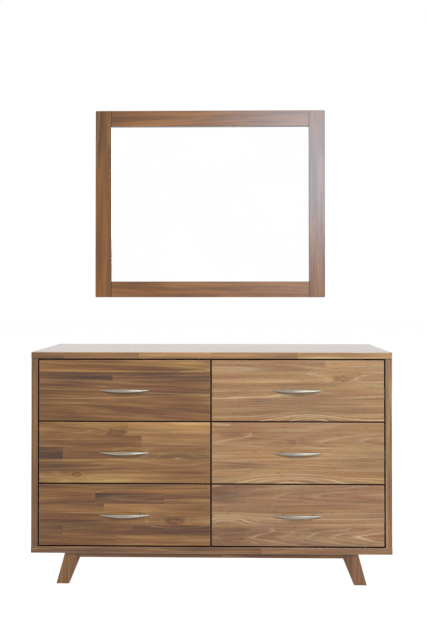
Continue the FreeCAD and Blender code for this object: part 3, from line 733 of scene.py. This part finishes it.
def wooden(
    node, pale=0.48, spread=0.08, strip=0.055, stave=0.5,
    plan=None, wood_name=None, stain_and_shade=0.0, rim_highlight=0.6, **markings,
):
    """A CAD node's own shape, cut into the staves that it is glued up from.

    The staves follow the plan. Without one they are random: how pale, give or take the spread, and
    how wide a strip and how long a stave is, in metres. The wood is that of the node's slot, or the
    one named. The value after it darkens all of the board with painted shade, and the last lightens
    its rounded edges with a painted highlight. A marking is (place along the grain, place across
    it, half-length, half-height), in metres.
    """
    mesh = bmesh.new()
    mesh.from_mesh(nodes[node].data)
    bmesh.ops.remove_doubles(mesh, verts=mesh.verts, dist=SAME_CORNER)
    bmesh.ops.dissolve_limit(mesh, angle_limit=SAME_PLANE, verts=mesh.verts, edges=mesh.edges)
    layers = {name: mesh.loops.layers.float_vector.new(name) for name in ATTRIBUTES}
    board = {
        "plan": plan,
        "staves": (pale, spread, strip, stave),
        "front_edge": FRONT_EDGES.get(node),
        "inward": INWARD.get("drawer_front" if node.endswith("drawer_front") else node, ()),
        "stain_and_shade": stain_and_shade,
        "rim_highlight": rim_highlight,
        "markings": {kind: markings.get(kind, ()) for kind in FRONT_MARKINGS},
    }
    mesh.faces.index_update()
    for number, faces in enumerate(loose_parts(mesh)):
        dress_solid(mesh, layers, faces, "%s %d" % (node, number), board)
    smooth_rounded_edges(mesh)
    return add_piece(mesh, node + "_staves", WOODS[wood_name or SLOT_OF[node]], node)


def one_piece(*staves):
    """A plan of one strip, as wide as the board."""
    return ((1.0, staves),)


def on_front(name, markings):
    """A front's knots, swells or patches, with their middles in metres."""
    low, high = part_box(name + "_drawer_front")
    return [
        (low.x + across * (high.x - low.x), high.z - down * (high.z - low.z), half_length, half_height)
        for across, down, half_length, half_height in markings.get(name, ())
    ]


for name, plan in FRONTS.items():
    wooden(
        name + "_drawer_front",
        plan=plan,
        wood_name="light_front" if name.endswith("right") else None,
        **{kind: on_front(name, markings) for kind, markings in FRONT_MARKINGS.items()},
    )
    wooden(name + "_drawer_box", 0.5, 0.12, 0.19, 2.0)

# Each node, how pale, give or take how much, the width of a strip and the length of a stave.
# The top panel's rounded edges get a stronger painted highlight.
wooden("top_panel", 0.38, 0.05, 0.04, 0.5, rim_highlight=1.2, patch_at=((-0.77, -0.222, 0.11, 0.06),))
wooden("bottom_panel", 0.44, 0.08, 0.04, 0.5)
wooden("left_side_panel", 0.46, 0.08, 0.05, 0.6)
wooden("right_side_panel", 0.54, 0.08, 0.05, 0.6)
# The partition and the drawer rails, seen only through the gaps, are darkened all over with painted shade.
wooden("centre_partition", 0.40, 0.06, 0.06, 0.6, stain_and_shade=1.0)
wooden("drawer_rails", 0.40, 0.06, 0.09, 2.0, stain_and_shade=1.0)
wooden("side_base_rails", 0.36, 0.06, 0.09, 2.0)
wooden("front_base_rail", 0.32, 0.05, 0.09, 0.5)
wooden("rear_base_rail", 0.36, 0.05, 0.09, 0.5)
for end in ("front", "rear"):
    wooden(end + "_left_leg", plan=one_piece((1.0, 0.41, -0.1, 0.6, 0.0)))
    wooden(end + "_right_leg", plan=one_piece((1.0, 0.44, -2.0, 0.6, 0.0)))

# A glue line's width, and how it looks at the left and the right shoulder.
GLUE_LINE = 2.6 * MM
LEFT_GLUE = (0.10, 0.0, 0.5, 0.0)
RIGHT_GLUE = (0.04, 0.0, 0.5, 0.0)


def between_stiles(node, *look):
    """The plan of a rail of one stave, with a dark glue line at each of its shoulders."""
    low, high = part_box(node)
    left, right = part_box("mirror_left_stile")[1].x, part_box("mirror_right_stile")[0].x
    ends = (
        (left - GLUE_LINE / 2, *look),
        (left + GLUE_LINE, *LEFT_GLUE),
        (right - GLUE_LINE, *look),
        (right + GLUE_LINE / 2, *RIGHT_GLUE),
        (high.x, *look),
    )
    return one_piece(*[((x - low.x) / (high.x - low.x), *stave) for x, *stave in ends])


wooden(
    "mirror_left_stile",
    plan=one_piece((1.0, 0.42, 0.8, 0.5, 1.2)),
    patch_at=((2.0, -0.52, 0.36, 0.08),),
)
wooden("mirror_right_stile", plan=one_piece((1.0, 0.44, -0.3, 0.5, -0.5)))
wooden(
    "mirror_top_rail",
    plan=between_stiles("mirror_top_rail", 0.44, 0.5, 0.5, 1.0),
    patch_at=((-0.75, 2.06, 0.44, 0.12),),
)
wooden(
    "mirror_bottom_rail",
    plan=between_stiles("mirror_bottom_rail", 0.54, 0.0, 0.5, -1.0),
    patch_at=((-0.4, 1.23, 0.25, 0.06),),
)

# -------- sheet wood, metal, glass and rubber


def sheet_wood(name, stops, roughness):
    """Veneered or pressed sheet, with a faint figure along X."""
    tree = Tree(bpy.data.materials.new(name))
    at = tree.position()
    fibre = tree.noise(at, "sheet_fibre", 3.0, 0.6)
    cloud = tree.noise(at, "sheet_cloud", 4.0, 0.6)
    return tree.surface(
        Base_Color=tree.ramp(tree.add(tree.times(cloud, 0.7), 0.35, fibre), stops),
        Roughness=tree.add(roughness, 0.2, fibre),
        Normal=tree.bump(fibre, 0.1 * MM, 0.4),
    )


def metal(name, stops, roughness, brushed, depth):
    """Metal whose fine lines run along the direction with the fewest features."""
    tree = Tree(bpy.data.materials.new(name))
    at = tree.position()
    lines = tree.noise(at, brushed, 2.0, 0.6)
    return tree.surface(
        Base_Color=tree.ramp(tree.noise(at, "metal_tone", 3.0), stops),
        Metallic=1.0,
        Roughness=tree.add(roughness, 0.12, lines),
        Normal=tree.bump(lines, depth, 0.3),
    )


def silvered():
    """A mirror with a haze too faint to see as such."""
    tree = Tree(bpy.data.materials.new("silvered_glass"))
    haze = tree.noise(tree.position(), "haze")
    return tree.surface(
        Base_Color=tree.ramp(haze, mottled((253, 254, 254), (255, 255, 255))),
        Metallic=1.0,
        Roughness=tree.times(haze, 0.02),
    )


def rubber():
    tree = Tree(bpy.data.materials.new("bumper_rubber"))
    grain = tree.noise(tree.position(), "rubber")
    return tree.surface(
        Base_Color=tree.ramp(grain, mottled((40, 40, 40), (54, 53, 52))),
        Roughness=tree.add(0.6, 0.2, grain),
        Normal=tree.bump(grain, 0.05 * MM, 0.4),
    )


PLYWOOD = mottled((196, 162, 118), (224, 196, 154), 0.2)
HARDBOARD = mottled((104, 76, 52), (128, 96, 68), 0.2)
NICKEL = mottled((150, 140, 126), (160, 150, 136))
SLIDE_STEEL = mottled((196, 198, 200), (216, 217, 218))
HANGER_STEEL = mottled((186, 187, 188), (206, 206, 206))
OTHERS = {
    "pull_nickel": metal("satin_nickel", NICKEL, 0.25, "pull_lines", 0.001 * MM),
    "plywood": sheet_wood("plywood", PLYWOOD, 0.45),
    "hardboard": sheet_wood("hardboard", HARDBOARD, 0.6),
    "slide_steel": metal("slide_steel", SLIDE_STEEL, 0.24, "slide_lines", 0.01 * MM),
    "hanger_steel": metal("hanger_steel", HANGER_STEEL, 0.28, "hanger_lines", 0.01 * MM),
    "mirror_glass": silvered(),
    "bumper_rubber": rubber(),
}
for name, item in nodes.items():
    if SLOT_OF[name] in OTHERS:
        item.data.materials.clear()
        item.data.materials.append(OTHERS[SLOT_OF[name]])

# -------- bow pulls

# The bar's tips and their gap to the drawer front, the bar's depth in the middle, and its posts.
TIP_HALF_HEIGHT = 1.75 * MM
TIP_DEPTH = 3 * MM
TIP_GAP = 1.5 * MM
BAR_DEPTH = 7.5 * MM
POST_SPACING = 128 * MM
POST_HALF_WIDTH = 4.5 * MM
POST_HALF_HEIGHT = 4 * MM
# A post ends this far behind the front of the bar, inside it.
POST_END = 3 * MM
# A post's width along its way from the drawer front, as (share of the way, share of the width).
POST_FLARE = ((0.0, 1.18), (0.06, 1.1), (0.18, 1.0), (1.0, 0.86))
# A post's section lies between a rectangle (a power near 0) and an ellipse (a power of 1).
POST_POWER = 0.6
BAR_STEPS, POINT_STEPS, POST_STEPS = 72, 3, 24
# The bar's section, as shares of its depth and half-height: a face that leans back a little, a
# rounded top, and an underside that runs back nearly level.
BAR_SECTION = (
    (0.00, -0.38), (0.07, 0.15), (0.20, 0.70), (0.42, 0.98), (0.72, 0.95), (0.95, 0.60),
    (1.00, 0.00), (0.97, -0.70), (0.80, -1.00), (0.45, -0.84), (0.12, -0.62),
)


def skin(mesh, rings):
    """A closed skin over rings of equal length."""
    made = [[mesh.verts.new(point) for point in points] for points in rings]
    for first, second in zip(made, made[1:]):
        for i in range(len(first)):
            j = (i + 1) % len(first)
            mesh.faces.new((first[i], first[j], second[j], second[i]))
    mesh.faces.new(made[0][::-1])
    mesh.faces.new(made[-1])


def arc_share(share, half_length, rise):
    """How far a circular arc stands above its chord, from 1 at the middle to 0 at the ends."""
    radius = (half_length ** 2 + rise ** 2) / (2 * rise)
    return 1 - (radius - math.sqrt(radius ** 2 - (share * half_length) ** 2)) / rise


def turns(count, first=0.0):
    """Evenly spaced angles round a circle."""
    return [2 * math.pi * (number + first) / count for number in range(count)]


def signed_power(value, power):
    return math.copysign(abs(value) ** power, value)


def smooth_loop(points, steps):
    """A closed curve through the points, a Catmull-Rom spline."""
    curve = []
    count = len(points)
    for number in range(count):
        before, start, end, after = (Vector(points[(number + way) % count]) for way in (-1, 0, 1, 2))
        for step in range(steps):
            t = step / steps
            pull = (end - before) * t + (2 * before - 5 * start + 4 * end - after) * t ** 2
            curve.append(start + 0.5 * (pull + (3 * start - before - 3 * end + after) * t ** 3))
    return curve


def add_bar(mesh, low, high, rise):
    """The bar: its front bows out by the rise, and it is thickest and tallest in the middle."""
    middle = (low + high) / 2
    half_length = (high.x - low.x) / 2
    swell = (high.z - low.z) / 2 - TIP_HALF_HEIGHT
    rings = []
    for step in range(BAR_STEPS + 1):
        share = math.sin(math.pi * (step / BAR_STEPS - 0.5))
        bow = arc_share(share, half_length, rise)
        tall = TIP_HALF_HEIGHT + swell * arc_share(share, half_length, swell)
        thick = TIP_DEPTH + (BAR_DEPTH - TIP_DEPTH) * bow
        front = high.y - TIP_GAP - TIP_DEPTH - rise * bow
        rings.append([
            (middle.x + share * half_length, front + back * thick, middle.z + up * tall)
            for back, up in smooth_loop(BAR_SECTION, POINT_STEPS)
        ])
    skin(mesh, rings)


def add_post(mesh, x, y, z, reach):
    """A flared post that stands on the drawer front and reaches forward into the bar."""
    rings = []
    for way, flare in POST_FLARE:
        points = []
        for angle in turns(POST_STEPS):
            across = flare * POST_HALF_WIDTH * signed_power(math.cos(angle), POST_POWER)
            up = flare * POST_HALF_HEIGHT * signed_power(math.sin(angle), POST_POWER)
            points.append((x + across, y - way * reach, z + up))
        rings.append(points)
    skin(mesh, rings)


def make_pull(name):
    """A bar bowed in plan and swelling in elevation, on two flared posts."""
    node = name + "_pull"
    low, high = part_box(node)
    middle = (low + high) / 2
    rise = high.y - low.y - TIP_GAP - TIP_DEPTH
    mesh = bmesh.new()
    add_bar(mesh, low, high, rise)
    half_length = (high.x - low.x) / 2
    bow = arc_share(POST_SPACING / 2 / half_length, half_length, rise)
    reach = TIP_GAP + TIP_DEPTH + rise * bow - POST_END
    for sign in BOTH_SIGNS:
        add_post(mesh, middle.x + sign * POST_SPACING / 2, high.y, middle.z, reach)
    bmesh.ops.recalc_face_normals(mesh, faces=mesh.faces)
    for face in mesh.faces:
        face.smooth = len(face.verts) == 4
    return add_piece(mesh, name + "_bow_pull", OTHERS["pull_nickel"], node)


pulls = [make_pull(name) for name in FRONTS]

# -------- screws and turn buttons

BOX_BOARD = 14 * MM
PANEL_SCREW_INSET = 5 * MM
HANGER_HALF_WIDTH = 10 * MM
HANGER_SCREW_INSET = 5 * MM
# Each screw head's radius and height.
PULL_SCREW = (4.5 * MM, 2.2 * MM)
PANEL_SCREW = (3.6 * MM, 1.5 * MM)
HANGER_SCREW = (3.2 * MM, 0.9 * MM)
BUTTON_SCREW = (3 * MM, 1.2 * MM)
BUTTON_HALF_LENGTH = 12 * MM
BUTTON_HALF_WIDTH = 4.5 * MM
BUTTON_THICKNESS = 1.2 * MM
PANEL_COLUMNS, PANEL_ROWS = 9, 5
BUTTON_COLUMNS, BUTTON_ROWS = 5, 4
SCREW_STEPS = 32
# A pan head's rings, as (share of its radius, share of its height, whether it is the recess).
HEAD_RINGS = (
    (1.0, 0.0, False), (0.97, 0.3, False), (0.82, 0.78, False), (0.62, 1.0, False),
    (1.0, 1.0, True), (0.8, 0.4, True),
)
# The cross recess: each arm's length and half-width, as shares of the head's radius.
REACH, SLOT = 0.5, 0.13
# A turn button's rings, as (share of its thickness, how far its edge is drawn in).
BUTTON_RINGS = ((0.0, 0.0), (0.75, 0.0), (1.0, 0.06))
LEAST = 1e-9


def plus_sign(angle):
    """How far a cross recess reaches at an angle, as a share of the head's radius."""
    across, up = abs(math.cos(angle)) + LEAST, abs(math.sin(angle)) + LEAST
    return max(min(REACH / across, SLOT / up), min(SLOT / across, REACH / up))


def screw_head(mesh, x, y, z, radius, height):
    """A pan head with a cross recess that stands on a face across Y and points to the back."""
    rings = []
    for share, up, crossed in HEAD_RINGS:
        points = []
        for angle in turns(SCREW_STEPS):
            reach = radius * share * (plus_sign(angle) if crossed else 1.0)
            points.append((x + reach * math.cos(angle), y + up * height, z + reach * math.sin(angle)))
        rings.append(points)
    skin(mesh, rings)


def turn_button(mesh, x, y, z, level):
    """A small plate with round ends, screwed over the edge of the mirror's backing."""
    straight = BUTTON_HALF_LENGTH - BUTTON_HALF_WIDTH
    rings = []
    for up, inset in BUTTON_RINGS:
        points = []
        for angle in turns(SCREW_STEPS, 0.5):
            along = BUTTON_HALF_WIDTH * (1 - inset) * math.cos(angle)
            along += math.copysign(straight, math.cos(angle))
            across = BUTTON_HALF_WIDTH * (1 - inset) * math.sin(angle)
            right, above = (along, across) if level else (across, along)
            points.append((x + right, y + up * BUTTON_THICKNESS, z + above))
        rings.append(points)
    skin(mesh, rings)
    screw_head(mesh, x, y + BUTTON_THICKNESS, z, *BUTTON_SCREW)


def add_metal(mesh, name, node):
    """A group of small metal pieces with the finish and the body of a CAD node."""
    bmesh.ops.recalc_face_normals(mesh, faces=mesh.faces)
    add_piece(mesh, name, OTHERS[SLOT_OF[node]], node, stands_for=False)


def evenly(low, high, count):
    return [low + (high - low) * number / (count - 1) for number in range(count)]


def add_pull_screws(name):
    """Two machine screws inside a box front, which hold the pull's posts."""
    low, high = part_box(name + "_pull")
    inner_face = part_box(name + "_drawer_box")[0].y + BOX_BOARD
    mesh = bmesh.new()
    for sign in BOTH_SIGNS:
        x = (low.x + high.x) / 2 + sign * POST_SPACING / 2
        screw_head(mesh, x, inner_face, (low.z + high.z) / 2, *PULL_SCREW)
    add_metal(mesh, name + "_pull_screws", name + "_slide_inner")


def add_back_panel_screws():
    """Screws round the back panel's edge, where it lies in its rabbet, and down its middle."""
    low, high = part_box("back_panel")
    left, right = low.x + PANEL_SCREW_INSET, high.x - PANEL_SCREW_INSET
    bottom, top = low.z + PANEL_SCREW_INSET, high.z - PANEL_SCREW_INSET
    places = [(x, z) for x in evenly(left, right, PANEL_COLUMNS) for z in (bottom, top)]
    middle = (low.x + high.x) / 2
    places += [(x, z) for z in evenly(bottom, top, PANEL_ROWS)[1:-1] for x in (left, middle, right)]
    mesh = bmesh.new()
    for x, z in places:
        screw_head(mesh, x, high.y, z, *PANEL_SCREW)
    add_metal(mesh, "back_panel_screws", "slide_outer_members")


def add_mirror_fasteners():
    """The hangers' screws, and turn buttons over the joint between the backing and its frame."""
    low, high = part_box("mirror_hangers")
    mesh = bmesh.new()
    for x in (low.x + HANGER_HALF_WIDTH, high.x - HANGER_HALF_WIDTH):
        for z in (low.z + HANGER_SCREW_INSET, high.z - HANGER_SCREW_INSET):
            screw_head(mesh, x, high.y, z, *HANGER_SCREW)
    frame_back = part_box("mirror_left_stile")[1].y
    low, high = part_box("mirror_backing")
    for x in evenly(low.x, high.x, BUTTON_COLUMNS)[1:-1]:
        for z in (low.z, high.z):
            turn_button(mesh, x, frame_back, z, level=False)
    for z in evenly(low.z, high.z, BUTTON_ROWS)[1:-1]:
        for x in (low.x, high.x):
            turn_button(mesh, x, frame_back, z, level=True)
    add_metal(mesh, "mirror_screws_and_buttons", "mirror_hangers")


for name in FRONTS:
    add_pull_screws(name)
add_back_panel_screws()
add_mirror_fasteners()

# -------- floor, light and camera

scene = bpy.context.scene
scene.view_settings.view_transform = "Standard"
FLOOR_GREY = (0.25, 0.25, 0.25, 1)
# With the light that the grey floor returns, this glow shows it as white.
FLOOR_GLOW = 0.96
FLOOR_HALF_SIZE = 30
WHITE = (1, 1, 1, 1)
# The strength of the even light on the object, where the background's own strength is 1.
FILL = 0.12


def sees_background(tree):
    """1 for the camera's rays, reflections and refractions, and 0 for light on the object."""
    rays = tree.node("LightPath").outputs
    share = tree.maths("MAXIMUM", rays["Is Camera Ray"], rays["Is Glossy Ray"])
    return tree.maths("MAXIMUM", share, rays["Is Transmission Ray"])


def floor_material():
    """Plain grey for the light on the object, and the same with a white glow for the camera."""
    tree = Tree(bpy.data.materials.new("floor"))
    plain = tree.node("BsdfDiffuse", FLOOR_GREY).outputs[0]
    glow = tree.node("Emission", Strength=FLOOR_GLOW).outputs[0]
    glowing = tree.node("AddShader", plain, glow).outputs[0]
    shader = tree.node("MixShader", sees_background(tree), plain, glowing)
    tree.node("OutputMaterial", shader.outputs[0])
    return tree.owner


def make_floor():
    """A plain pale floor that keeps the object's shadow and shows as white around it."""
    mesh = bmesh.new()
    bmesh.ops.create_grid(mesh, x_segments=8, y_segments=8, size=FLOOR_HALF_SIZE)
    floor = add_mesh(mesh, "floor", floor_material())


def make_world():
    """White to the camera and in reflections, and a softer even light on the object."""
    scene.world = bpy.data.worlds.new("studio")
    tree = Tree(scene.world)
    strength = tree.node("MapRange", sees_background(tree), To_Min=FILL, To_Max=1.0)
    background = tree.node("Background", WHITE, strength.outputs["Result"])
    tree.node("OutputWorld", background.outputs[0])


# What every lamp points at, about the middle of the whole.
LAMP_TARGET = Vector((0, 0, 1))


def make_lamp(name, azimuths, heights, distance, radiance, colour=(1, 1, 1)):
    """A soft box that spans those angles, in degrees, as seen from the lamps' target.

    Azimuth 0 is straight ahead of the front.
    """
    azimuth = math.radians(sum(azimuths) / 2)
    height = math.radians(sum(heights) / 2)
    level = math.cos(height)
    way = Vector((math.sin(azimuth) * level, -math.cos(azimuth) * level, math.sin(height)))
    data = bpy.data.lights.new(name, "AREA")
    data.shape = "RECTANGLE"
    data.size = 2 * distance * math.tan(math.radians(azimuths[1] - azimuths[0]) / 2)
    data.size_y = 2 * distance * math.tan(math.radians(heights[1] - heights[0]) / 2)
    data.energy = radiance * math.pi * data.size * data.size_y
    data.color = colour
    lamp = add_object(name, data)
    lamp.location = LAMP_TARGET + distance * way
    lamp.rotation_mode = "QUATERNION"
    lamp.rotation_quaternion = (-way).to_track_quat("-Z", "Y")
    lamp.visible_camera = False
    return lamp


def spare(lamp, pieces):
    """Keeps a lamp off some pieces, so that its own bright shape doesn't show in them."""
    spared = bpy.data.collections.new("spared_by_" + lamp.name)
    for piece in pieces:
        spared.objects.link(piece)
    lamp.light_linking.receiver_collection = spared
    for member in spared.collection_objects:
        member.light_linking.link_state = "EXCLUDE"


# The photograph's camera, fitted to the edges of the case, its gaps and the mirror: its place in
# metres, its turns in degrees, its lens and sensor in mm, and its shift as shares of the picture's
# longer side.
CAMERA_PLACE = (0.0754, -3.0628, 1.211)
CAMERA_TURNS = (90.575, -0.008, 0.884)
LENS, SENSOR = 38.42, 36
SHIFT = (-0.008, -0.0511)


def make_camera():
    data = bpy.data.cameras.new("camera")
    data.sensor_width = SENSOR
    data.lens = LENS
    data.shift_x, data.shift_y = SHIFT
    camera = add_object("camera", data)
    camera.location = CAMERA_PLACE
    camera.rotation_euler = [math.radians(angle) for angle in CAMERA_TURNS]
    scene.camera = camera


COOL, PALE_COOL, WARM = (0.72, 1.0, 1.30), (0.86, 1.0, 1.20), (1.0, 0.98, 0.94)

make_floor()
make_world()
# each lamp's azimuths and heights in degrees, its distance in metres, and its radiance
window = make_lamp("window", (3.5, 17), (7, 22), 14.0, 16.0, COOL)
side_window = make_lamp("side_window", (6, 54), (8, 17), 14.0, 5.6, PALE_COOL)
back_window = make_lamp("back_window", (140, 220), (0, 40), 5.0, 1.6)
key = make_lamp("key", (-5, 13), (29, 38), 9.0, 35.0, WARM)
make_lamp("overhead", (-70, 70), (62, 106), 3.0, 0.55)
# the mirror shows the plain background and neither window, and the pulls show the side window
spare(window, [nodes["mirror_glass"], *pulls])
spare(side_window, [nodes["mirror_glass"]])
back_window.visible_glossy = False
key.visible_glossy = False
make_camera()
